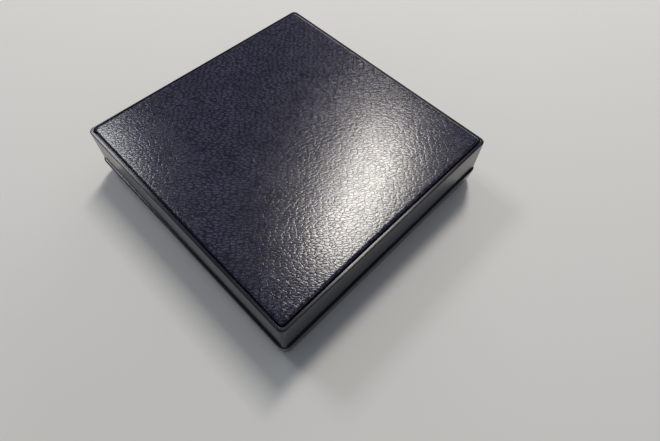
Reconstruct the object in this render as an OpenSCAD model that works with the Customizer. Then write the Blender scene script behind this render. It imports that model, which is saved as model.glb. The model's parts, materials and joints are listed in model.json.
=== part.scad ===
// Cake of violin rosin in its hinged, moulded travel case.
// Millimetres, +Z up. The origin is the centre of the case's underside, -Y is the
// side that opens and +Y is the hinge side. The lid is shown closed.

/* [Case] */
// Width of the closed case at the lid's lower edge, side to side
case_w = 62.6; // [60:0.2:66]
// Depth of the closed case at the lid's lower edge, front to hinge side
case_d = 63.9; // [60.1:0.2:67.1]
// Height of the base below the seam
base_h = 5.1; // [5:0.1:7]
// Height of the groove that shows as the seam
seam_h = 0.35; // [0.3:0.05:0.6]
// Height of the lid's side walls, from the seam to the ledge
lid_h = 8.8; // [8.5:0.1:10]
// Wall thickness of both mouldings
wall_t = 1.4; // [1.2:0.1:1.6]
// How much narrower the lid is at its top than at its lower edge, per side
lid_draft = 0.3; // [0.1:0.05:0.4]
// Radius of the lid's upright corners
lid_corner_r = 0.8; // [0.5:0.1:1.2]
// Radius of the base's upright corners
base_corner_r = 2; // [1.5:0.1:2.4]
// Radius along the base's upper edge
base_edge_r = 0.4; // [0.3:0.1:0.6]
// Radius along the base's foot
base_foot_r = 1.5; // [1:0.1:2]
// How much narrower the base is at its foot than at its rim, per side
base_draft = 0.3; // [0.1:0.05:0.4]
// How far the base's rim stands out past the lid's lower edge, per side
base_proud = 0.5; // [0.4:0.1:1]

/* [Grained top panel] */
// Width of the flat ledge round the panel
ledge_w = 0.78; // [0.6:0.02:1.2]
// How far the panel stands above the ledge
panel_rise = 0.55; // [0.4:0.05:0.8]
// Thickness of the panel
panel_t = 1.05; // [1:0.05:1.2]
// Radius along the panel's upper edge
panel_edge_r = 0.4; // [0.2:0.05:0.4]

/* [Rosin] */
// Diameter of the cake
cake_d = 40; // [36:0.5:42]
// Thickness of the cloth under the cake
cloth_t = 0.5; // [0.4:0.1:0.6]

/* [Hinge] */
// Radius of the hinge pins
pin_r = 0.45; // [0.4:0.05:0.5]
// Outer radius of the knuckles
knuckle_r = 1.4; // [1.3:0.05:1.5]
// Length of the base's middle knuckle
base_knuckle_l = 26; // [20:1:30]
// Length of each of the lid's two knuckles
lid_knuckle_l = 9; // [7:1:11]
// Angle at which the lid's heels stop against the base
open_angle = 105; // [95:1:110]

/* [Hidden] */
$fn = 96;
overlap = 0.6;

// Levels, from the underside up
floor_t = 1.2;
liner_t = 0.4;
cloth_z = floor_t + liner_t;
cake_z = cloth_z + cloth_t;
lid_z = base_h + seam_h;
ledge_z = lid_z + lid_h;
lid_top_t = 1.6;
ceiling_z = ledge_z - lid_top_t;
card_t = 0.5;
foam_t = 0.8;
satin_t = 0.25;
satin_z = ceiling_z - card_t - foam_t - satin_t;
cake_gap = 0.3;
cake_h = satin_z - cake_gap - cake_z;

// Base: a rebated rim, whose lip stands inside the lid's wall
base_w = case_w + 2 * base_proud;
base_d = case_d + 2 * base_proud;
lip_gap = 0.25;
lip_t = 0.85;
lip_inset = wall_t + lip_gap;
lip_rise = 1.4;
lip_corner_r = 1.4;
land_gap = 0.05;
land_w = 0.7;
cavity_w = case_w - 2 * (lip_inset + lip_t);
cavity_d = case_d - 2 * (lip_inset + lip_t);
cavity_corner_r = 1;

// Catch: a low bead on the lip's front and a shallow groove in the lid
catch_l = 9;
catch_r = 0.5;
catch_proud = 0.15;
catch_z = lid_z + 0.75;
catch_groove_l = catch_l + 1;

// Lid's cavity
lid_cavity_w = case_w - 2 * wall_t;
lid_cavity_d = case_d - 2 * wall_t;
lid_cavity_corner_r = 1.1;

// Panel and the shallow pocket it is bonded into
lid_top_w = case_w - 2 * lid_draft;
lid_top_d = case_d - 2 * lid_draft;
panel_w = lid_top_w - 2 * ledge_w;
panel_d = lid_top_d - 2 * ledge_w;
panel_corner_r = 0.8;
panel_z = ledge_z + panel_rise - panel_t;
pocket_gap = 0.05;

// Contents
liner_gap = 0.2;
cloth_gap = 0.3;
cloth_bank_w = 4.2;
cloth_top_z = 10.4;
cake_edge_r = 1.2;
cake_foot_r = 0.6;
pad_w = lid_cavity_w - 1.2;
pad_d = lid_cavity_d - 1.2;
pad_corner_r = 1.2;

// Hinge
hinge_off = knuckle_r + 0.3;
axis_y = base_d / 2 + hinge_off;
axis_z = base_h + seam_h / 2;
knuckle_gap = 0.3;
lid_knuckle_x = base_knuckle_l / 2 + knuckle_gap;
web_h = 3.4;
web_clear = 0.2;
pin_grip_l = 5;
pin_l = pin_grip_l + knuckle_gap + lid_knuckle_l - 0.1;
pin_fit = 0.01;
pin_running_gap = 0.05;
heel_gap = 0.05;
heel_top = 0.9;
heel_foot = 1.6;

// Angle at which a line from the point p touches a circle of radius r at the origin,
// side is 1 for the far side counting anticlockwise and -1 for the other
function tangent_angle(p, r, side) = atan2(p[1], p[0]) + side * acos(r / norm(p));
function on_circle(r, a) = [r * cos(a), r * sin(a)];

module rounded_rect(w, d, r) {
    square([w - 2 * r, d], center = true);
    square([w, d - 2 * r], center = true);
    for (sx = [-1, 1], sy = [-1, 1])
        translate([sx * (w / 2 - r), sy * (d / 2 - r)]) circle(r);
}

// Upright block with rounded corners, standing at height z
module slab(w, d, r, z, h) {
    translate([0, 0, z]) linear_extrude(h) rounded_rect(w, d, r);
}

// The 2D children, drawn as X and Z, run along Y
module along_y(length) {
    rotate([90, 0, 0]) linear_extrude(length, center = true) children();
}

// The 2D children, drawn as Y and Z, run along X
module along_x(length) {
    rotate([90, 0, 90]) linear_extrude(length, center = true) children();
}

// Side view of a block whose upper two edges are rounded
module rounded_top(w, h, r) {
    translate([-w / 2, 0]) square([w, h - r]);
    translate([r - w / 2, 0]) square([w - 2 * r, h]);
    for (s = [-1, 1])
        translate([s * (w / 2 - r), h - r]) circle(r);
}

// Side view of the lid's block, narrower at the top
module drafted(w, h) {
    polygon([[-w / 2, 0], [w / 2, 0], [w / 2 - lid_draft, h], [lid_draft - w / 2, h]]);
}

// Side view of the base's block, narrower at its foot
module base_profile(w) {
    rim_x = w / 2 - base_edge_r;
    rim_z = base_h - base_edge_r;
    foot_x = w / 2 - base_draft - base_foot_r;
    wall_foot_x = w / 2 - base_draft;
    polygon([[-wall_foot_x, base_foot_r], [wall_foot_x, base_foot_r], [w / 2, rim_z], [-w / 2, rim_z]]);
    translate([-rim_x, base_foot_r]) square([2 * rim_x, base_h - base_foot_r]);
    translate([-foot_x, 0]) square([2 * foot_x, base_h]);
    for (s = [-1, 1]) {
        translate([s * rim_x, rim_z]) circle(base_edge_r);
        translate([s * foot_x, base_foot_r]) circle(base_foot_r);
    }
}

module base_block() {
    intersection() {
        slab(base_w, base_d, base_corner_r, 0, base_h);
        along_y(base_d + 1) base_profile(base_w);
        along_x(base_w + 1) base_profile(base_d);
    }
}

module lid_block() {
    intersection() {
        slab(case_w, case_d, lid_corner_r, lid_z, lid_h);
        translate([0, 0, lid_z]) along_y(case_d + 1) drafted(case_w, lid_h);
        translate([0, 0, lid_z]) along_x(case_w + 1) drafted(case_d, lid_h);
    }
}

// Moves children from the hinge's own frame to the model's
module at_hinge(x) {
    translate([x, axis_y, axis_z]) children();
}

// Knuckle and the web that joins it to the back wall. up is 1 for the lid, -1 for the base
module knuckle_profile(up) {
    wall_y = -hinge_off - (up > 0 ? base_proud : 0);
    foot = [wall_y, up * web_h];
    touch = on_circle(knuckle_r, tangent_angle(foot, knuckle_r, -up));
    circle(knuckle_r);
    polygon([[wall_y - overlap, foot[1]], foot, touch, [0, 0],
             [web_clear - knuckle_r, up * web_clear], [wall_y - overlap, up * (web_clear + seam_h)]]);
}

// Heel on a lid knuckle: its flat meets the base's back wall when the lid is fully open
module heel_profile() {
    tip = [heel_gap - hinge_off, -heel_foot];
    touch = on_circle(knuckle_r, tangent_angle(tip, knuckle_r, 1));
    rotate(open_angle) polygon([[0, 0], [tip[0], -heel_top], tip, touch]);
}

module pin_hole(x, length, r) {
    at_hinge(x) rotate([0, 90, 0]) cylinder(h = length, r = r, center = true);
}

module lid_knuckle(side) {
    centre_x = side * (lid_knuckle_x + lid_knuckle_l / 2);
    at_hinge(centre_x) along_x(lid_knuckle_l) knuckle_profile(1);
    at_hinge(centre_x) along_x(lid_knuckle_l) heel_profile();
}

module catch_bead(length, proud) {
    face_y = -case_d / 2 + lip_inset;
    translate([0, face_y - proud + catch_r, catch_z])
        rotate([0, 90, 0]) cylinder(h = length, r = catch_r, center = true);
}

module base_shell() {
    color([0.06, 0.06, 0.11])
    difference() {
        union() {
            base_block();
            slab(case_w - 2 * (lip_inset - land_w), case_d - 2 * (lip_inset - land_w),
                 lip_corner_r, floor_t, lid_z - land_gap - floor_t);
            slab(case_w - 2 * lip_inset, case_d - 2 * lip_inset, lip_corner_r,
                 floor_t, lid_z + lip_rise - floor_t);
            catch_bead(catch_l, catch_proud);
            at_hinge(0) along_x(base_knuckle_l) knuckle_profile(-1);
        }
        slab(cavity_w, cavity_d, cavity_corner_r, floor_t, lid_z + lip_rise);
        for (side = [-1, 1])
            pin_hole(side * (base_knuckle_l / 2), 2 * (pin_grip_l + 0.3), pin_r + pin_fit);
    }
}

module lid_shell() {
    color([0.06, 0.06, 0.11])
    difference() {
        union() {
            lid_block();
            for (side = [-1, 1]) lid_knuckle(side);
        }
        slab(lid_cavity_w, lid_cavity_d, lid_cavity_corner_r, lid_z - 1, ceiling_z - lid_z + 1);
        slab(panel_w + 2 * pocket_gap, panel_d + 2 * pocket_gap, panel_corner_r, panel_z, panel_t);
        catch_bead(catch_groove_l, lip_gap + catch_proud);
        for (side = [-1, 1])
            pin_hole(side * (lid_knuckle_x + lid_knuckle_l / 2), lid_knuckle_l + 2, pin_r + pin_running_gap);
    }
}

module lid_panel() {
    color([0.10, 0.10, 0.15])
    intersection() {
        slab(panel_w, panel_d, panel_corner_r, panel_z, panel_t);
        translate([0, 0, panel_z]) along_y(panel_d + 1) rounded_top(panel_w, panel_t, panel_edge_r);
        translate([0, 0, panel_z]) along_x(panel_w + 1) rounded_top(panel_d, panel_t, panel_edge_r);
    }
}

module lid_card() {
    color([0.62, 0.60, 0.55])
    slab(pad_w, pad_d, pad_corner_r, ceiling_z - card_t, card_t);
}

module lid_foam() {
    color([0.85, 0.83, 0.72])
    slab(pad_w, pad_d, pad_corner_r, satin_z + satin_t, foam_t);
}

// Satin drawn over the foam and the card's edges
module lid_satin() {
    color([0.80, 0.78, 0.72])
    difference() {
        slab(pad_w + 2 * satin_t, pad_d + 2 * satin_t, pad_corner_r, satin_z, ceiling_z - satin_z);
        slab(pad_w, pad_d, pad_corner_r, satin_z + satin_t, ceiling_z - satin_z);
    }
}

module base_liner() {
    color([0.10, 0.10, 0.22])
    slab(cavity_w - 2 * liner_gap, cavity_d - 2 * liner_gap, cavity_corner_r, floor_t, liner_t);
}

// Holding cloth: flat under the cake, its edges banked up against the case's walls
module rosin_cloth() {
    outer_w = cavity_w - 2 * cloth_gap;
    outer_d = cavity_d - 2 * cloth_gap;
    color([0.13, 0.16, 0.36])
    difference() {
        slab(outer_w, outer_d, cavity_corner_r, cloth_z, cloth_top_z - cloth_z);
        slab(outer_w - 2 * cloth_bank_w, outer_d - 2 * cloth_bank_w, cavity_corner_r, cake_z, cloth_top_z);
    }
}

module rosin_cake() {
    r = cake_d / 2;
    color([0.70, 0.35, 0.08])
    translate([0, 0, cake_z])
    rotate_extrude() {
        square([r - cake_edge_r, cake_h]);
        translate([0, cake_foot_r]) square([r, cake_h - cake_edge_r - cake_foot_r]);
        translate([r - cake_edge_r, cake_h - cake_edge_r]) circle(cake_edge_r);
        translate([r - cake_foot_r, cake_foot_r]) circle(cake_foot_r);
        square([r - cake_foot_r, cake_edge_r]);
    }
}

module hinge_pin(side) {
    centre_x = side * (base_knuckle_l / 2 - pin_grip_l + pin_l / 2);
    color([0.75, 0.75, 0.77])
    at_hinge(centre_x) rotate([0, 90, 0]) cylinder(h = pin_l, r = pin_r, center = true);
}

module hinge_pin_left() {
    hinge_pin(-1);
}

module hinge_pin_right() {
    hinge_pin(1);
}

base_shell();
base_liner();
rosin_cloth();
rosin_cake();
hinge_pin_left();
hinge_pin_right();
lid_shell();
lid_panel();
lid_card();
lid_foam();
lid_satin();
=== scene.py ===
"""Looks for a cake of violin rosin in its hinged, moulded case.

Sizes are in millimetres, in the model's own frame: the origin is the centre of the case's
underside, +Z is up, -Y is the side that opens and +Y is the hinge side.
"""

import json
import math

import bmesh
import bpy
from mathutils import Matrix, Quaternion, Vector, noise


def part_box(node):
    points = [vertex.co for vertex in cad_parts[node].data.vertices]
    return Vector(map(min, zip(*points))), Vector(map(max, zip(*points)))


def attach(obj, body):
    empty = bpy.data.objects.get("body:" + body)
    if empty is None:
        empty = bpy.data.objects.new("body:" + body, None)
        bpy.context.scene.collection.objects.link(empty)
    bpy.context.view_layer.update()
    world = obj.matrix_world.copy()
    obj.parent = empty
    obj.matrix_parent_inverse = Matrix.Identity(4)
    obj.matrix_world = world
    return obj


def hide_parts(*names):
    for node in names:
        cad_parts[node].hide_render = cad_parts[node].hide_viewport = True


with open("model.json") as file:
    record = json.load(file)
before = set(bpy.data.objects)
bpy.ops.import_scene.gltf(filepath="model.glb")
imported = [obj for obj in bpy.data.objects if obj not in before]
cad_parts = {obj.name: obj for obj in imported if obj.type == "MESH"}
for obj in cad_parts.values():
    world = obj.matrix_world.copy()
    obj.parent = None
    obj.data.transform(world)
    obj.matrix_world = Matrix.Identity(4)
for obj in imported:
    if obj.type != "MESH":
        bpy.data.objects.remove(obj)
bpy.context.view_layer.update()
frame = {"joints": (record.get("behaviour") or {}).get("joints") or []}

MM = 0.001


def cad(node):
    """A CAD node's lowest and highest corners, in millimetres."""
    low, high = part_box(node)
    return Vector(low) / MM, Vector(high) / MM


# Levels and sizes that come from the CAD nodes
base_low, base_high = cad("base_shell")
panel_low, panel_high = cad("lid_panel")
liner_low, liner_high = cad("base_liner")
cloth_low, cloth_high = cad("rosin_cloth")
cake_low, cake_high = cad("rosin_cake")
card_low, card_high = cad("lid_card")
foam_low, foam_high = cad("lid_foam")
satin_low, satin_high = cad("lid_satin")
hinge = frame["joints"][0]
axis_y, axis_z = (v / MM for v in hinge["pos_m"][1:])

RIM_PROUD = 0.5
CASE_W = base_high.x - RIM_PROUD
CASE_D = -base_low.y - RIM_PROUD
SEAM = 0.35
LID_Z = axis_z + SEAM / 2
BASE_TOP_Z = axis_z - SEAM / 2
PANEL_RISE = 0.55
LEDGE_Z = panel_high.z - PANEL_RISE
LID_DRAFT = 0.3
BASE_DRAFT = 0.3
WALL = 1.4
CEILING_Z = card_high.z
LIP_TOP_Z = LID_Z + 1.4
FLOOR_Z = liner_low.z


# ---------------------------------------------------------------- mesh helpers


def rounded_ring(half_w, half_d, r, z, steps=8):
    """Points round a rectangle with rounded corners, anticlockwise from above."""
    points = []
    for corner, (sx, sy) in enumerate(((1, 1), (-1, 1), (-1, -1), (1, -1))):
        for k in range(steps + 1):
            a = math.radians(90 * (corner + k / steps))
            x = sx * (half_w - r) + r * math.cos(a)
            y = sy * (half_d - r) + r * math.sin(a)
            points.append(Vector((x, y, z)))
    return points


def softened(path, steps=4):
    """A profile with its corners rounded. Each point is (out, z, corner radius, rounding)."""
    result = [path[0][:3]]
    for before, here, after in zip(path, path[1:], path[2:]):
        out, z, corner_r, rounding = here
        if not rounding:
            result.append(here[:3])
            continue
        p = Vector((out, z))
        a = Vector((before[0], before[1])) - p
        b = Vector((after[0], after[1])) - p
        half = a.angle(b) / 2
        a.normalize()
        b.normalize()
        reach = rounding / math.tan(half)
        centre = p + (a + b).normalized() * rounding / math.sin(half)
        start, end = p + a * reach - centre, p + b * reach - centre
        sweep = start.angle(end)
        for k in range(steps + 1):
            t = k / steps
            q = (start * math.sin((1 - t) * sweep) + end * math.sin(t * sweep)) / math.sin(sweep)
            result.append((centre.x + q.x, centre.y + q.y, corner_r))
    result.append(path[-1][:3])
    return result


def to_object(name, bm):
    """A scene object in metres from a bmesh in millimetres."""
    bmesh.ops.scale(bm, vec=(MM, MM, MM), verts=bm.verts)
    bmesh.ops.recalc_face_normals(bm, faces=bm.faces)
    mesh = bpy.data.meshes.new(name)
    bm.to_mesh(mesh)
    bm.free()
    obj = bpy.data.objects.new(name, mesh)
    bpy.context.scene.collection.objects.link(obj)
    return obj


def skin(bm, rings, loop=False):
    """Joins rings of points with quads, with loop the last to the first too. Returns the rows."""
    rows = [[bm.verts.new(p) for p in ring] for ring in rings]
    for a, b in zip(rows, rows[1:] + (rows[:1] if loop else [])):
        for i in range(len(a)):
            j = (i + 1) % len(a)
            bm.faces.new((a[i], a[j], b[j], b[i]))
    return rows


def loft(name, rings, loop=False):
    """A closed solid through rings of points: flat at both ends, or a loop of rings."""
    bm = bmesh.new()
    rows = skin(bm, rings, loop)
    if not loop:
        bm.faces.new(rows[0][::-1])
        bm.faces.new(rows[-1])
    return to_object(name, bm)


def moulding(name, path, half_w=CASE_W, half_d=CASE_D):
    """A moulded part from a profile: out is how far a point stands outside the half sizes."""
    rings = [rounded_ring(half_w + out, half_d + out, r, z) for out, z, r in softened(path)]
    return loft(name, rings)


def lathe(name, profile, segments):
    """A closed solid turned about Z from (radius, z) points, first and last on the axis."""
    angles = [2 * math.pi * k / segments for k in range(segments)]
    bm = bmesh.new()
    rows = skin(
        bm,
        [[Vector((r * math.cos(a), r * math.sin(a), z)) for a in angles] for r, z in profile[1:-1]],
    )
    for (_, z), row in ((profile[0], rows[0]), (profile[-1], rows[-1])):
        tip = bm.verts.new((0, 0, z))
        for i in range(segments):
            bm.faces.new((tip, row[i], row[(i + 1) % segments]))
    return to_object(name, bm)


def prism(name, outline, x0, x1, bevel=0.12):
    """A solid with a (y, z) outline that runs from x0 to x1, its end edges eased."""
    bm = bmesh.new()
    near = [bm.verts.new((x0, y, z)) for y, z in outline]
    far = [bm.verts.new((x1, y, z)) for y, z in outline]
    ends = [bm.faces.new(near[::-1]), bm.faces.new(far)]
    for i in range(len(outline)):
        j = (i + 1) % len(outline)
        bm.faces.new((near[i], near[j], far[j], far[i]))
    edges = {e for face in ends for e in face.edges}
    bmesh.ops.bevel(bm, geom=list(edges), offset=bevel, segments=2, affect="EDGES", profile=0.6)
    return to_object(name, bm)


def combine(target, tool, operation="UNION"):
    """Joins tool to target, or cuts it away, and removes tool."""
    modifier = target.modifiers.new("combine", "BOOLEAN")
    modifier.object = tool
    modifier.operation = operation
    modifier.solver = "EXACT"
    apply_modifiers(target)
    bpy.data.objects.remove(tool)


def apply_modifiers(obj):
    """Bakes an object's modifiers into its mesh."""
    view = bpy.context.evaluated_depsgraph_get()
    mesh = bpy.data.meshes.new_from_object(obj.evaluated_get(view))
    obj.modifiers.clear()
    obj.data = mesh


def smooth(obj):
    obj.data.polygons.foreach_set("use_smooth", [True] * len(obj.data.polygons))


def shade(obj, angle=35):
    """Smooth shading that stays crisp at edges sharper than angle."""
    smooth(obj)
    obj.data.set_sharp_from_angle(angle=math.radians(angle))
    weighted = obj.modifiers.new("weighted_normals", "WEIGHTED_NORMAL")
    weighted.keep_sharp = True


def finish_piece(obj, body, nodes, material):
    """Gives the piece its material and body, and hides the CAD nodes it stands for."""
    obj.data.materials.clear()
    obj.data.materials.append(material)
    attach(obj, body)
    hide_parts(*nodes)


# ------------------------------------------------------------- shader helpers


class Finish:
    """A node material round one Principled shader, in the object's own coordinates."""

    def __init__(self, name, **values):
        self.material = bpy.data.materials.new(name)
        self.material.use_nodes = True
        self.tree = self.material.node_tree
        self.shader = self.tree.nodes["Principled BSDF"]
        self.place = self.tree.nodes.new("ShaderNodeTexCoord").outputs["Object"]
        self.set(**values)

    def set(self, **values):
        """Sets or links shader sockets, written with _ for a space."""
        for key, value in values.items():
            self.feed(self.shader.inputs[key.replace("_", " ")], value)

    def feed(self, socket, value):
        if isinstance(value, bpy.types.NodeSocket):
            self.tree.links.new(value, socket)
        else:
            socket.default_value = value

    def add(self, kind, values=(), **settings):
        node = self.tree.nodes.new("ShaderNode" + kind)
        for key, value in settings.items():
            setattr(node, key, value)
        for key, value in dict(values).items():
            self.feed(node.inputs[key], value)
        return node

    def stretched(self, place, lengths, turn=0):
        """Coordinates whose features are drawn out by lengths, along axes turned about Z."""
        values = {"Vector": place, "Scale": lengths, "Rotation": (0, 0, math.radians(turn))}
        return self.add("Mapping", values, vector_type="TEXTURE").outputs["Vector"]

    def grain(self, size, detail=2, stretch=(1, 1, 1), turn=0, warp=0):
        """Soft noise from 0 to 1 with features of about size millimetres."""
        values = {
            "Vector": self.stretched(self.place, stretch, turn),
            "Scale": 1 / (size * MM),
            "Detail": detail,
            "Distortion": warp,
        }
        return self.add("TexNoise", values).outputs["Fac"]

    def fit(self, value, low, high, to_low=0.0, to_high=1.0):
        """value remapped smoothly from low..high to to_low..to_high."""
        values = {"Value": value, "From Min": low, "From Max": high}
        values.update({"To Min": to_low, "To Max": to_high})
        return self.add("MapRange", values, interpolation_type="SMOOTHSTEP").outputs["Result"]

    def math(self, operation, a, b=0.0):
        return self.add("Math", {0: a, 1: b}, operation=operation).outputs[0]

    def mix(self, amount, a, b):
        """Colour a where amount is 0, b where it is 1."""
        node = self.add("Mix", data_type="RGBA")
        self.feed(node.inputs[0], amount)
        for socket, value in ((node.inputs[6], a), (node.inputs[7], b)):
            self.feed(socket, value if isinstance(value, bpy.types.NodeSocket) else (*value, 1))
        return node.outputs[2]

    def bump(self, height, depth, below=None):
        """A bump of depth millimetres, on top of the bump below."""
        values = {"Height": height, "Distance": depth * MM}
        if below is not None:
            values["Normal"] = below
        return self.add("Bump", values).outputs["Normal"]

    def worn_edge(self, radius):
        """1 on edges sharper than radius millimetres, 0 on flats."""
        soft = self.add("Bevel", {"Radius": radius * MM}, samples=4).outputs["Normal"]
        hard = self.add("NewGeometry").outputs["Normal"]
        same = self.add("VectorMath", {0: soft, 1: hard}, operation="DOT_PRODUCT").outputs["Value"]
        return self.fit(same, 0.99, 0.8)


def moulded_plastic():
    """Polished navy-black moulding with fine scratches, dust and lighter, worn edges."""
    f = Finish("case_plastic", IOR=1.5)
    cloud = f.grain(9, detail=4)
    scuffs = f.fit(f.grain(0.5, detail=3, stretch=(12, 1, 1), turn=25), 0.62, 0.8)
    more_scuffs = f.fit(f.grain(0.6, detail=3, stretch=(1, 10, 1), turn=-15), 0.64, 0.82)
    marks = f.math("MAXIMUM", scuffs, more_scuffs)
    dust = f.fit(f.grain(0.28, detail=1), 0.74, 0.8)
    edge = f.math("MULTIPLY", f.worn_edge(0.35), f.fit(f.grain(1.6, detail=3), 0.35, 0.7))
    colour = f.mix(cloud, (0.006, 0.006, 0.014), (0.009, 0.009, 0.020))
    colour = f.mix(f.math("MULTIPLY", marks, 0.25), colour, (0.05, 0.05, 0.07))
    colour = f.mix(f.math("MULTIPLY", edge, 0.35), colour, (0.09, 0.09, 0.12))
    colour = f.mix(f.math("MULTIPLY", dust, 0.35), colour, (0.30, 0.29, 0.27))
    rough = f.fit(cloud, 0.3, 0.7, 0.19, 0.25)
    rough = f.math("ADD", rough, f.math("MULTIPLY", marks, 0.12))
    rough = f.math("ADD", rough, f.math("MULTIPLY", dust, 0.4))
    wave = f.bump(f.grain(7, detail=1), 0.012)
    normal = f.bump(f.grain(0.35, detail=2), 0.002, below=wave)
    f.set(Base_Color=colour, Roughness=rough, Normal=normal)
    return f.material


# The pebbled grain: cells to the metre, how far they are drawn out and which way they lie
PEBBLES_PER_M = 1850
PEBBLE_STRETCH = (2.3, 1, 1)
ROLL_STRETCH = (1.8, 1, 1)
GRAIN_TURN = -45
PEBBLE_SHARE, ROLL_SHARE, CREASE_SHARE = 0.42, 0.34, 0.36
GRAIN_DEPTH, FINE_DEPTH = 0.0132, 0.0045
# In metres: the grain fades in from start to end inside the panel's edge, along a ragged line
MARGIN_START, MARGIN_END = 0.0002, 0.0005
MARGIN_RAG = 0.0003
# In metres: how far the pebbles wander
WARP = 0.0008


def grained_panel(half_w, half_d):
    """Leather grain moulded in plastic, smooth round the margin."""
    f = Finish("panel_grain", IOR=1.5)
    x, y = f.add("SeparateXYZ", {"Vector": f.place}).outputs[:2]
    inside_x = f.math("SUBTRACT", half_w * MM, f.math("ABSOLUTE", x))
    inside_y = f.math("SUBTRACT", half_d * MM, f.math("ABSOLUTE", y))
    inside = f.math("MINIMUM", inside_x, inside_y)
    ragged = f.math("ADD", inside, f.math("MULTIPLY", f.grain(1.2), MARGIN_RAG))
    grained = f.fit(ragged, MARGIN_START, MARGIN_END)

    drift = f.add("TexNoise", {"Vector": f.place, "Scale": 900, "Detail": 2}).outputs["Color"]
    offset = f.add("VectorMath", {0: drift, 1: (0.5, 0.5, 0.5)}, operation="SUBTRACT").outputs[0]
    small = f.add("VectorMath", {0: offset, "Scale": WARP}, operation="SCALE").outputs[0]
    warped = f.add("VectorMath", {0: f.place, 1: small}, operation="ADD").outputs[0]
    mapped = f.stretched(warped, PEBBLE_STRETCH, GRAIN_TURN)
    values = {"Vector": mapped, "Scale": PEBBLES_PER_M, "Randomness": 0.85}
    cells = f.add("TexVoronoi", values, feature="DISTANCE_TO_EDGE").outputs["Distance"]
    pebble = f.fit(cells, 0.0, 0.30)
    creases = f.fit(cells, 0.0, 0.10)
    fine = f.grain(0.35, detail=3)
    rolling = f.grain(1.1, stretch=ROLL_STRETCH, turn=GRAIN_TURN)
    height = f.math("MULTIPLY", pebble, PEBBLE_SHARE)
    for part, share in ((rolling, ROLL_SHARE), (creases, CREASE_SHARE)):
        height = f.math("ADD", height, f.math("MULTIPLY", part, share))
    height = f.math("MULTIPLY", height, grained)
    normal = f.bump(height, GRAIN_DEPTH)
    normal = f.bump(f.math("MULTIPLY", fine, grained), FINE_DEPTH, below=normal)

    cloud = f.grain(14, detail=3)
    # Painted reflection: the pebble tops are coloured paler, in patches, to stand in for the glints
    # the grain catches where the panel lies in shade.
    glint_patches = f.fit(f.grain(6, detail=4), 0.3, 0.75, 0.45, 0.75)
    paler_tops = f.math("MULTIPLY", f.math("MULTIPLY", pebble, grained), glint_patches)
    colour = f.mix(cloud, (0.003, 0.003, 0.011), (0.005, 0.004, 0.015))
    colour = f.mix(paler_tops, colour, (0.082, 0.076, 0.135))
    dust = f.math("MULTIPLY", f.fit(f.grain(0.3, detail=1), 0.76, 0.82), 0.3)
    colour = f.mix(dust, colour, (0.3, 0.29, 0.27))
    rough = f.fit(f.grain(4, detail=4), 0.3, 0.7, 0.15, 0.19)
    margin = f.math("SUBTRACT", 1.0, grained)
    rough = f.math("SUBTRACT", rough, f.math("MULTIPLY", margin, 0.05))
    f.set(Base_Color=colour, Roughness=rough, Normal=normal)
    return f.material


def flock(name, deep, light, pile=0.12):
    """Short standing pile that catches light at a glancing angle, with painted highlights on its
    tuft tips.
    """
    sheen = {"Sheen_Weight": 0.7, "Sheen_Roughness": 0.4, "Sheen_Tint": (*light, 1)}
    f = Finish(name, Roughness=0.95, **sheen)
    nap = f.grain(5, detail=4, warp=0.6)
    tuft = f.grain(pile, detail=2)
    colour = f.mix(f.fit(nap, 0.3, 0.7), deep, light)
    # Painted highlight: the tuft tips are lightened towards twice the lighter pile colour.
    tip = tuple(min(1, 2.0 * c) for c in light)
    colour = f.mix(f.fit(tuft, 0.45, 0.75, 0, 0.45), colour, tip)
    normal = f.bump(tuft, 0.08)
    normal = f.bump(nap, 0.25, below=normal)
    f.set(Base_Color=colour, Normal=normal)
    f.shader.inputs["Specular IOR Level"].default_value = 0.2
    return f.material


def rosin():
    """Glassy amber resin with faint flow clouds, pin-head bubbles, bow scratches and powder."""
    f = Finish("rosin", IOR=1.53, Subsurface_Weight=0.25, Subsurface_Scale=0.004, Coat_Weight=0.7)
    f.shader.inputs["Subsurface Radius"].default_value = (1.0, 0.40, 0.08)
    f.shader.inputs["Transmission Weight"].default_value = 0.5
    f.shader.inputs["Coat Roughness"].default_value = 0.08
    cloud = f.grain(17, detail=2, warp=0.5)
    colour = f.mix(f.fit(cloud, 0.3, 0.72), (0.40, 0.105, 0.007), (0.55, 0.19, 0.018))
    bubble = f.add("TexVoronoi", {"Vector": f.place, "Scale": 700}).outputs["Distance"]
    colour = f.mix(f.fit(bubble, 0.07, 0.03, 0, 0.5), colour, (0.95, 0.60, 0.20))
    facing_up = f.add("SeparateXYZ", {"Vector": f.add("NewGeometry").outputs["Normal"]}).outputs[2]
    top = f.fit(facing_up, 0.8, 0.98)
    strokes = f.fit(f.grain(0.22, detail=4, stretch=(26, 1, 1), turn=3), 0.54, 0.74)
    patch = f.fit(f.grain(15, detail=3), 0.40, 0.62)
    paler_tops = f.math("MULTIPLY", f.math("MULTIPLY", strokes, patch), top)
    powder = f.fit(f.grain(0.35, detail=4), 0.58, 0.76, 0, 0.35)
    rim = f.math("MULTIPLY", f.worn_edge(0.6), f.fit(f.grain(0.9, detail=3), 0.42, 0.62))
    dusty = f.math("MAXIMUM", f.math("MAXIMUM", paler_tops, powder), f.math("MULTIPLY", rim, 0.7))
    colour = f.mix(f.math("MULTIPLY", dusty, 0.5), colour, (0.90, 0.74, 0.50))
    rough = f.fit(dusty, 0.0, 1.0, 0.07, 0.55)
    normal = f.bump(f.grain(8, detail=2), 0.12)
    normal = f.bump(strokes, 0.02, below=normal)
    f.set(Base_Color=colour, Roughness=rough, Normal=normal)
    return f.material


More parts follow.
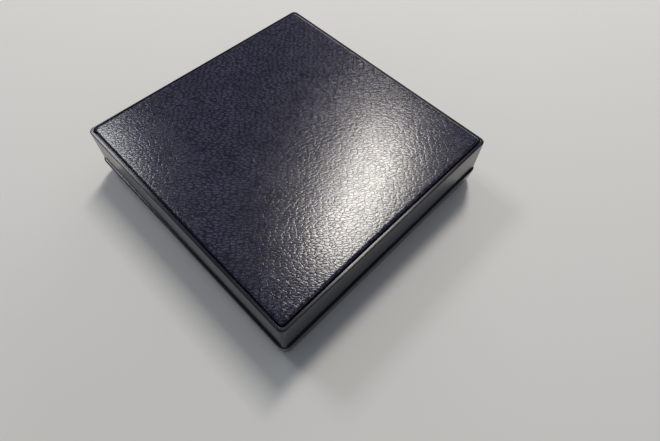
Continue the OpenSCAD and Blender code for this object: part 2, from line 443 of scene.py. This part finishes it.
def wire_steel():
    """Drawn steel wire: fine lines along its length, a little tarnish."""
    f = Finish("pin_steel", Metallic=1.0)
    drawn = f.grain(0.12, detail=3, stretch=(30, 1, 1))
    tarnish = f.grain(2.2, detail=4)
    colour = f.mix(f.fit(tarnish, 0.4, 0.75), (0.62, 0.62, 0.64), (0.42, 0.38, 0.33))
    rough = f.math("ADD", f.fit(drawn, 0.3, 0.7, 0.16, 0.30), f.fit(tarnish, 0.5, 0.8, 0, 0.15))
    f.set(Base_Color=colour, Roughness=rough, Normal=f.bump(drawn, 0.004))
    return f.material


def pulp_card():
    """Grey-brown card with fibres and a few dark flecks."""
    f = Finish("pad_card", Roughness=0.9)
    fibres = f.grain(0.5, detail=4, stretch=(5, 1, 1), turn=30)
    flecks = f.fit(f.grain(0.4, detail=1), 0.72, 0.8)
    colour = f.mix(fibres, (0.42, 0.38, 0.31), (0.56, 0.52, 0.44))
    colour = f.mix(flecks, colour, (0.16, 0.14, 0.11))
    f.set(Base_Color=colour, Normal=f.bump(fibres, 0.03))
    return f.material


def open_foam():
    """Cream foam, pitted with open cells."""
    f = Finish("pad_foam", Roughness=0.85, Subsurface_Weight=0.2, Subsurface_Scale=0.001)
    cells = f.add("TexVoronoi", {"Vector": f.place, "Scale": 3200}).outputs["Distance"]
    age = f.grain(8, detail=3)
    colour = f.mix(age, (0.70, 0.62, 0.42), (0.82, 0.77, 0.60))
    # Painted shade: the open-cell pits are darkened towards brown.
    colour = f.mix(f.fit(cells, 0.35, 0.1, 0, 0.5), colour, (0.45, 0.38, 0.24))
    f.set(Base_Color=colour, Normal=f.bump(cells, 0.08))
    return f.material


def satin_weave():
    """Ivory satin: long floats that shine along one direction."""
    f = Finish("pad_satin", Sheen_Weight=0.4, Anisotropic=0.2)
    floats = f.grain(0.16, detail=2, stretch=(1, 8, 1))
    rows = f.grain(0.10, detail=1, stretch=(3, 1, 1))
    slub = f.grain(0.5, detail=3, stretch=(1, 14, 1))
    stain = f.grain(12, detail=4)
    colour = f.mix(f.fit(slub, 0.3, 0.75), (0.80, 0.72, 0.56), (0.84, 0.77, 0.62))
    colour = f.mix(f.fit(stain, 0.55, 0.75, 0, 0.2), colour, (0.66, 0.56, 0.38))
    rough = f.fit(floats, 0.3, 0.7, 0.40, 0.55)
    normal = f.bump(f.math("ADD", floats, rows), 0.02)
    normal = f.bump(slub, 0.006, below=normal)
    f.set(Base_Color=colour, Roughness=rough, Normal=normal)
    return f.material


PLASTIC = moulded_plastic()


# ------------------------------------------------------------------ the hinge

KNUCKLE_R = 1.4
HINGE_OFF = axis_y - (CASE_D + RIM_PROUD)
WEB_H = 3.4
WEB_CLEAR = 0.2
OPEN_ANGLE = 105
WEB_ROOT = 0.6
PIN_BORE = 0.5
BORE_SIDES = 24
# Where the knuckle's circle meets its web again, in degrees about the axis
WEB_LEAVES = 189.6
HEEL_GAP = 0.05
HEEL_TOP, HEEL_FOOT = 0.9, 1.6
# Distances from the middle of the case, along the hinge
LID_KNUCKLE = (13.3, 22.3)
BASE_KNUCKLE = 13
BASE_BORE = (7.7, 14)


def on_circle(angle, r=KNUCKLE_R):
    """(y, z) of a point about the hinge's axis, angle in degrees."""
    a = math.radians(angle)
    return r * math.cos(a), r * math.sin(a)


def arc(start, end, r=KNUCKLE_R, steps=40):
    """(y, z) points of an arc about the hinge's axis, angles in degrees."""
    return [on_circle(start + (end - start) * k / steps, r) for k in range(steps + 1)]


def tangent_angle(y, z, side):
    """Where a line from (y, z) touches the knuckle, in degrees."""
    return math.degrees(math.atan2(z, y) + side * math.acos(KNUCKLE_R / math.hypot(y, z)))


def knuckle_outline(up):
    """Knuckle and its web, round the hinge's axis. up is 1 for the lid and -1 for the base."""
    wall = -HINGE_OFF - (RIM_PROUD if up > 0 else 0)
    root = wall - WEB_ROOT
    touch = tangent_angle(wall, up * WEB_H, -up)
    outline = [(root, up * (WEB_CLEAR + SEAM)), (root, up * WEB_H), (wall, up * WEB_H)]
    return outline + arc(touch, -up * WEB_LEAVES)


def heel_outline():
    """Heel that meets the base's back wall when the lid is fully open."""
    flat = HEEL_GAP - HINGE_OFF
    touch = tangent_angle(flat, -HEEL_FOOT, 1)
    corners = [(0, 0), (flat, -HEEL_TOP), (flat, -HEEL_FOOT), on_circle(touch)]
    turn = math.radians(OPEN_ANGLE)
    c, s = math.cos(turn), math.sin(turn)
    return [(y * c - z * s, y * s + z * c) for y, z in corners]


def at_hinge(outline):
    return [(axis_y + y, axis_z + z) for y, z in outline]


def bore(x0, x1):
    circle = arc(0, 360 - 360 / BORE_SIDES, PIN_BORE, BORE_SIDES - 1)
    return prism("bore", at_hinge(circle), x0, x1, bevel=0.001)


def both_sides(near, far):
    """The two x spans, left and right, of something from near to far off the middle."""
    return (-far, -near), (near, far)


# -------------------------------------------------------------- the mouldings


POCKET_FIT = 0.05
SEAM_DEPTH = 0.95
SEAM_STEP = 0.05
LIP_OUT = WALL + 0.25
LIP_IN = WALL + 1.1


def make_lid():
    pocket = panel_high.x - CASE_W + POCKET_FIT
    path = [
        (pocket, panel_low.z, 0.85, 0),
        (pocket, LEDGE_Z, 0.9, 0.08),
        (-LID_DRAFT, LEDGE_Z, 1.2, 0.22),
        (0, LID_Z, 0.8, 0.12),
        (-WALL, LID_Z, 1.1, 0.1),
        (-WALL - 0.08, CEILING_Z, 1.1, 0.5),
        (-WALL - 4, CEILING_Z, 1.1, 0),
    ]
    lid = moulding("lid_moulding", path)
    for x0, x1 in both_sides(*LID_KNUCKLE):
        combine(lid, prism("knuckle", at_hinge(knuckle_outline(1)), x0, x1))
        combine(lid, prism("heel", at_hinge(heel_outline()), x0 + 0.01, x1 - 0.01))
        combine(lid, bore(x0 - 1, x1 + 1), "DIFFERENCE")
    shade(lid)
    finish_piece(lid, "lid", ["lid_shell"], PLASTIC)


def make_base():
    path = [
        (RIM_PROUD - 4, 0, 1, 0),
        (RIM_PROUD - BASE_DRAFT, 0, 1.9, 1.5),
        (RIM_PROUD, BASE_TOP_Z, 2, 0.3),
        (-SEAM_DEPTH, BASE_TOP_Z, 1.6, 0.05),
        (-SEAM_DEPTH, LID_Z - SEAM_STEP, 1.5, 0.08),
        (-LIP_OUT, LID_Z - SEAM_STEP, 1.4, 0.05),
        (-LIP_OUT, LIP_TOP_Z, 1.4, 0.25),
        (-LIP_IN, LIP_TOP_Z, 1, 0.25),
        (-LIP_IN, FLOOR_Z, 1, 0.3),
        (-WALL - 5, FLOOR_Z, 1, 0),
    ]
    base = moulding("base_moulding", path)
    knuckle = at_hinge(knuckle_outline(-1))
    combine(base, prism("knuckle", knuckle, -BASE_KNUCKLE, BASE_KNUCKLE))
    for x0, x1 in both_sides(*BASE_BORE):
        combine(base, bore(x0, x1), "DIFFERENCE")
    shade(base)
    finish_piece(base, "base", ["base_shell"], PLASTIC)


PANEL_GAP = 0.06
PANEL_EDGE_R = 0.8
PANEL_EDGE_H = 0.42
PANEL_EDGE_STEPS = 10
# How far in from the panel's edge, and how far below its top
PANEL_CROWN = ((1.6, 0.012), (3, 0.004), (8, 0.0))


def make_panel():
    half_w, half_d = panel_high.x - PANEL_GAP, panel_high.y - PANEL_GAP
    foot, top = panel_low.z + 0.02, panel_high.z
    path = [(-2, foot, 0.8, 0), (0, foot, 0.8, 0.05), (0, top - 0.12, 0.9, 0)]
    levels = softened(path)
    for k in range(1, PANEL_EDGE_STEPS + 1):
        a = math.radians(90 * k / PANEL_EDGE_STEPS)
        out = -PANEL_EDGE_R * (1 - math.cos(a))
        levels.append((out, top - 0.02 - PANEL_EDGE_H * (1 - math.sin(a)), 1.0))
    levels += [(-inset, top - drop, 1.0) for inset, drop in PANEL_CROWN]
    rings = [rounded_ring(half_w + out, half_d + out, r, z) for out, z, r in levels]
    panel = loft("grained_panel", rings)
    shade(panel, 60)
    finish_piece(panel, "lid", ["lid_panel"], grained_panel(half_w, half_d))


make_base()
make_lid()
make_panel()


# ------------------------------------------------------------------- contents


PIN_EASE = 0.15


def make_pins():
    steel = wire_steel()
    for name in ("left", "right"):
        low, high = cad("hinge_pin_" + name)
        r, ease = (high.z - low.z) / 2, PIN_EASE
        length = high.x - low.x
        rounded = [(r - ease, 0), (r, ease), (r, length - ease), (r - ease, length)]
        profile = [(0, 0), *rounded, (0, length)]
        pin = lathe("hinge_pin_" + name + "_wire", profile, segments=32)
        for vertex in pin.data.vertices:
            x, y, z = vertex.co
            vertex.co = z + low.x * MM, x + axis_y * MM, y + axis_z * MM
        shade(pin)
        finish_piece(pin, "base", ["hinge_pin_" + name], steel)


def make_liner():
    half_w, half_d = liner_high.x, liner_high.y
    path = [
        (-2, liner_low.z, 1, 0),
        (0, liner_low.z, 1, 0.05),
        (0, liner_high.z, 1, 0.12),
        (-3, liner_high.z, 1, 0),
    ]
    liner = moulding("flocked_liner", path, half_w, half_d)
    shade(liner)
    navy = flock("liner_flock", (0.012, 0.013, 0.05), (0.03, 0.035, 0.11))
    finish_piece(liner, "base", ["base_liner"], navy)


CAKE_DRAFT = 0.05
CAKE_FOOT_R = 0.6
CAKE_RIM_R = 1.05
CAKE_DISH = 0.3


def make_cake():
    """A poured puck: eased foot, round rim and a top that sinks a little as it sets."""
    r = (cake_high.x - cake_low.x) / 2
    foot, top = cake_low.z, cake_high.z
    rim = CAKE_RIM_R + CAKE_DRAFT
    profile = [(0, foot), (r - CAKE_FOOT_R, foot), (r - 0.18, foot + 0.18)]
    profile += [(r, foot + CAKE_FOOT_R), (r - CAKE_DRAFT, top - rim)]
    for degrees in (15, 30, 45, 60, 75, 90):
        a = math.radians(degrees)
        z = top - CAKE_RIM_R + CAKE_RIM_R * math.sin(a)
        profile.append((r - rim + CAKE_RIM_R * math.cos(a), z))
    profile += [(r - 2.0, top - 0.06), (r - 3.0, top - 0.22), (r - 5.0, top - 0.27)]
    profile += [(0.4, top - CAKE_DISH), (0, top - CAKE_DISH)]
    cake = lathe("rosin_puck", profile, segments=128)
    shade(cake, 50)
    finish_piece(cake, "base", ["rosin_cake"], rosin())


def make_pad():
    card = moulding(
        "pad_card",
        [
            (-2, card_low.z, 1.2, 0),
            (0, card_low.z, 1.2, 0.06),
            (0, card_high.z, 1.2, 0.06),
            (-2, card_high.z, 1.2, 0),
        ],
        card_high.x,
        card_high.y,
    )
    shade(card)
    finish_piece(card, "lid", ["lid_card"], pulp_card())
    foam = moulding(
        "pad_foam",
        [
            (-2.2, foam_low.z, 1.2, 0),
            (-0.15, foam_low.z, 1.2, 0.35),
            (-0.05, foam_high.z, 1.2, 0.05),
            (-2, foam_high.z, 1.2, 0),
        ],
        foam_high.x,
        foam_high.y,
    )
    shade(foam)
    finish_piece(foam, "lid", ["lid_foam"], open_foam())


# The satin from its edge to its middle: how far in, and how far above its face
SATIN_SIDE = ((0, 0.98), (0, 0.53), (0.08, 0.28), (0.3, 0.14), (0.7, 0.06), (1.3, 0.03))
SATIN_FACE = [(inset, 0.04) for inset in (2.1, 3.2, 4.8, 7, 10, 14, 19, 24, 28)]
CORNER_STEPS = 10
SIDE_STEPS = 48
PUCKER_REACH = 3.5


def with_sides(ring):
    """A rounded ring with points added along its straight sides."""
    arcs = [ring[k : k + CORNER_STEPS + 1] for k in range(0, len(ring), CORNER_STEPS + 1)]
    points = []
    for here, after in zip(arcs, arcs[1:] + arcs[:1]):
        points += here
        points += [here[-1].lerp(after[0], k / SIDE_STEPS) for k in range(1, SIDE_STEPS)]
    return points


def make_satin():
    """Satin drawn over the foam, puckered towards its edges."""
    half_w, half_d = satin_high.x - 0.05, satin_high.y - 0.05
    face_z = satin_low.z + 0.12
    levels = [(0, satin_high.z)]
    levels += [(inset, face_z + rise) for inset, rise in [*SATIN_SIDE, *SATIN_FACE]]
    rings = []
    for inset, z in levels:
        r = max(0.4, 1.4 - inset * 0.1)
        ring = rounded_ring(half_w - inset, half_d - inset, r, z, CORNER_STEPS)
        rings.append(with_sides(ring))
    bm = bmesh.new()
    rows = skin(bm, rings)
    bm.faces.new(rows[-1])
    for depth, ((inset, _), row) in enumerate(zip(levels, rows)):
        fade = math.exp(-inset / PUCKER_REACH) if depth > 1 else 0
        for v in row:
            along = v.co.x if abs(v.co.y) / half_d > abs(v.co.x) / half_w else v.co.y
            pucker = noise.noise(Vector((along * 0.9, 3.0 * (v.co.x > 0), 7.0 * (v.co.y > 0))))
            sag = noise.noise(Vector((v.co.x * 0.12, v.co.y * 0.12, 2)))
            v.co.z += 0.10 * fade * pucker + 0.03 * sag * (1 - fade)
    satin = to_object("satin_cover", bm)
    smooth(satin)
    finish_piece(satin, "lid", ["lid_satin"], satin_weave())


# The velvet is simulated this many times larger, where the solver is steady
SIM = 20
LAST_FRAME = 20
VELVET_T = 0.4
VELVET_BORDER = 7.4
FOOT_BEND_R = 1.5
WALL_ROOM = 0.45
# The ears at the corners: bend to the millimetre, and how far their two layers open
EAR_CURL = 0.10
EAR_SPREAD = 0.4
# The standing border: how far its top leans in, how sharply, and where that fades at a corner
LEAN = 1.6
LEAN_POWER = 1.6
LEAN_FADE = 7
# Thickness of the walls that hold the simulated cloth, and the room that it keeps from the CAD
SIM_WALL = 9
CLOTH_MARGIN = VELVET_T / 2 + 0.05


def around_foot(t):
    """(out, up) of the velvet t past the start of its bend from the floor to the wall."""
    quarter = math.pi / 2 * FOOT_BEND_R
    if t <= 0:
        return t, 0.0
    if t < quarter:
        return FOOT_BEND_R * math.sin(t / FOOT_BEND_R), FOOT_BEND_R * (1 - math.cos(t / FOOT_BEND_R))
    return FOOT_BEND_R, FOOT_BEND_R + t - quarter


def folded(u, v):
    """Where a point of the flat velvet lies: its border stands against the walls and its
    corners are folded double into the case's corners."""
    half_w, half_d = cloth_high.x - WALL_ROOM, cloth_high.y - WALL_ROOM
    sx, sy = math.copysign(1, u), math.copysign(1, v)
    out_x, up_x = around_foot(abs(u) - half_w + FOOT_BEND_R)
    out_y, up_y = around_foot(abs(v) - half_d + FOOT_BEND_R)
    x, y = half_w - FOOT_BEND_R + out_x, half_d - FOOT_BEND_R + out_y
    rise, ear = max(up_x, up_y), min(up_x, up_y)
    if ear > 0:
        curl = EAR_CURL * (1 if sx * sy > 0 else -1)
        along, aside = math.sin(curl * ear) / curl, (1 - math.cos(curl * ear)) / curl
        aside += EAR_SPREAD * min(1, ear) * max(-1, min(1, up_x - up_y))
        x += (-along + aside) / math.sqrt(2)
        y += (-along - aside) / math.sqrt(2)
    else:
        place = v if up_x > up_y else u
        from_corner = (half_d if up_x > up_y else half_w) - abs(place)
        wave = 0.5 + 0.9 * noise.noise(Vector((place * 0.17, 5 * sx, 9 * sy)))
        lean = LEAN * (rise / VELVET_BORDER) ** LEAN_POWER * wave
        lean *= min(1, max(0, from_corner) / LEAN_FADE)
        if up_x > up_y:
            x -= lean
        else:
            y -= lean
    return Vector((sx * x, sy * y, cloth_low.z + 0.25 + rise))


def velvet_square(size_w, size_d, n=64):
    """The velvet as a square grid of n by n faces, already folded into the case."""
    bm = bmesh.new()
    rows = []
    for j in range(n + 1):
        v = (j / n - 0.5) * size_d
        rows.append([bm.verts.new(folded((i / n - 0.5) * size_w, v)) for i in range(n + 1)])
    for a, b in zip(rows, rows[1:]):
        for i in range(n):
            bm.faces.new((a[i], a[i + 1], b[i + 1], b[i]))
    return to_object("velvet_cloth", bm)


def collider(name, rings, loop=False):
    """A solid that the cloth can't pass, from rings of points in millimetres, enlarged."""
    solid = loft(name, [[p * SIM for p in ring] for ring in rings], loop)
    solid.modifiers.new("collision", "COLLISION")
    solid.collision.thickness_outer = 0.1 * SIM * MM
    solid.collision.cloth_friction = 5
    return solid


def settle(cloth):
    """Lets the folded velvet sag and spread inside the case, under the closed lid."""
    scene = bpy.context.scene
    w, d = cloth_high.x, cloth_high.y
    r = (cake_high.x - cake_low.x) / 2
    wide, deep = w + SIM_WALL, d + SIM_WALL
    ring = rounded_ring
    floor = collider("sim_floor", [ring(wide, deep, 1, z) for z in (-20, cloth_low.z)])
    heights = cake_low.z + 0.15, cake_high.z + 6
    cake = collider("sim_cake", [ring(r, r, r - 0.01, z, 12) for z in heights])
    section = (w, d, -8), (w, d, 18), (wide, deep, 18), (wide, deep, -8)
    walls = collider("sim_walls", [ring(a, b, 1.2, z, 4) for a, b, z in section], loop=True)
    lid = collider("sim_lid", [ring(w + 5, d + 5, 1, z) for z in (cloth_high.z, 25)])

    for vertex in cloth.data.vertices:
        vertex.co *= SIM
    held = cloth.vertex_groups.new(name="under_cake")
    glued_r = (r - 1.2) * SIM * MM
    held.add([v.index for v in cloth.data.vertices if v.co.xy.length < glued_r], 1.0, "REPLACE")
    modifier = cloth.modifiers.new("cloth", "CLOTH")
    settings = modifier.settings
    settings.quality = 6
    settings.mass = 0.3
    settings.tension_stiffness = settings.compression_stiffness = 20
    settings.shear_stiffness = 8
    settings.bending_stiffness = 6
    settings.air_damping = 3
    settings.effector_weights.gravity = 0.2
    settings.vertex_group_mass = held.name
    contact = modifier.collision_settings
    contact.collision_quality = 3
    contact.distance_min = 0.2 * SIM * MM
    contact.use_self_collision = True
    contact.self_distance_min = 0.5 * SIM * MM
    contact.self_friction = 3
    modifier.point_cache.frame_start, modifier.point_cache.frame_end = 1, LAST_FRAME
    for frame_number in range(1, LAST_FRAME + 1):
        scene.frame_set(frame_number)
    apply_modifiers(cloth)
    cloth.vertex_groups.clear()
    for vertex in cloth.data.vertices:
        vertex.co /= SIM
    for solid in (floor, cake, walls, lid):
        bpy.data.objects.remove(solid)
    scene.frame_set(1)


def keep_inside(cloth):
    """Keeps every point of the velvet in the room that its CAD node has, clear of the cake."""
    margin = CLOTH_MARGIN
    room_w, room_d = cloth_high.x - margin, cloth_high.y - margin
    low, high = cloth_low.z + margin, cloth_high.z - margin
    under_cake = cake_low.z - margin
    clear_r = (cake_high.x - cake_low.x) / 2 + margin
    for vertex in cloth.data.vertices:
        p = vertex.co / MM
        p.z = min(high, max(low, p.z))
        if p.z > under_cake and p.xy.length < clear_r:
            if p.xy.length < clear_r - 1.5:
                p.z = under_cake
            else:
                p.xy = p.xy.normalized() * clear_r
        p.x = min(room_w, max(-room_w, p.x))
        p.y = min(room_d, max(-room_d, p.y))
        vertex.co = p * MM


def make_cloth():
    """Velvet square stuck under the cake, its border stood up against the walls."""
    size_w = 2 * (cloth_high.x - WALL_ROOM + VELVET_BORDER)
    size_d = 2 * (cloth_high.y - WALL_ROOM + VELVET_BORDER)
    cloth = velvet_square(size_w, size_d)
    settle(cloth)
    keep_inside(cloth)
    subdivision = cloth.modifiers.new("subdivision", "SUBSURF")
    subdivision.levels = subdivision.render_levels = 1
    solidify = cloth.modifiers.new("solidify", "SOLIDIFY")
    solidify.thickness = VELVET_T * MM
    solidify.offset = 0
    apply_modifiers(cloth)
    smooth(cloth)
    velvet = flock("cloth_velvet", (0.012, 0.02, 0.10), (0.03, 0.05, 0.20), 0.2)
    finish_piece(cloth, "base", ["rosin_cloth"], velvet)


make_pins()
make_liner()
make_cake()
make_pad()
make_satin()
make_cloth()


# ------------------------------------------------------ floor, light and camera


FLOOR_HALF = 4000
# The camera, fitted to the case's edges in the photo: millimetres, degrees and millimetres
CAMERA_PLACE = (-40.08, -48.83, 87.59)
CAMERA_TURN = (29.38, -1.99, -45.28)
LENS = 23.14


def make_floor():
    f = Finish("studio_floor", Roughness=0.9)
    f.set(Base_Color=f.mix(f.grain(120, detail=2), (0.78, 0.77, 0.74), (0.82, 0.81, 0.79)))
    bm = bmesh.new()
    corners = ((-1, -1), (1, -1), (1, 1), (-1, 1))
    bm.faces.new([bm.verts.new((x * FLOOR_HALF, y * FLOOR_HALF, 0)) for x, y in corners])
    floor = to_object("studio_floor", bm)
    floor.data.materials.append(f.material)


def direction(azimuth, elevation):
    """Unit vector from the case: azimuth from +Y towards +X, both in degrees."""
    a, e = math.radians(azimuth), math.radians(elevation)
    return Vector((math.sin(a) * math.cos(e), math.cos(a) * math.cos(e), math.sin(e)))


def soft_light(name, azimuth, elevation, width, height, power, colour, roll=0, distance=600):
    """A rectangle of light that faces the case: sizes in millimetres, power in watts."""
    data = bpy.data.lights.new(name, "AREA")
    data.shape = "RECTANGLE"
    data.size, data.size_y = width * MM, height * MM
    data.energy = power
    data.color = colour
    light = bpy.data.objects.new(name, data)
    toward = direction(azimuth, elevation)
    light.location = toward * distance * MM
    turn = toward.to_track_quat("Z", "Y") @ Quaternion((0, 0, 1), math.radians(roll))
    light.rotation_euler = turn.to_euler()
    bpy.context.scene.collection.objects.link(light)


def make_camera():
    data = bpy.data.cameras.new("camera")
    data.sensor_width = 36
    data.lens = LENS
    data.clip_start, data.clip_end = 0.005, 10
    camera = bpy.data.objects.new("camera", data)
    camera.location = [v * MM for v in CAMERA_PLACE]
    camera.rotation_euler = [math.radians(v) for v in CAMERA_TURN]
    bpy.context.scene.collection.objects.link(camera)
    bpy.context.scene.camera = camera


world = bpy.data.worlds.new("studio")
world.use_nodes = True
sky = world.node_tree.nodes["Background"].inputs
sky["Color"].default_value = (0.80, 0.88, 1.0, 1)
sky["Strength"].default_value = 0.2
bpy.context.scene.world = world
bpy.context.scene.view_settings.view_transform = "Standard"

make_floor()
soft_light("window", 59.5, 59, 78, 218, 1.6, (1.0, 0.95, 0.88), roll=-12)
soft_light("window_surround", 60, 59, 240, 320, 0.12, (1.0, 0.96, 0.90), roll=-12, distance=620)
soft_light("far_window", -6, 44, 170, 95, 0.62, (0.95, 0.97, 1.0))
soft_light("low_fill", 70, 14, 600, 160, 0.9, (1.0, 0.98, 0.95))
make_camera()
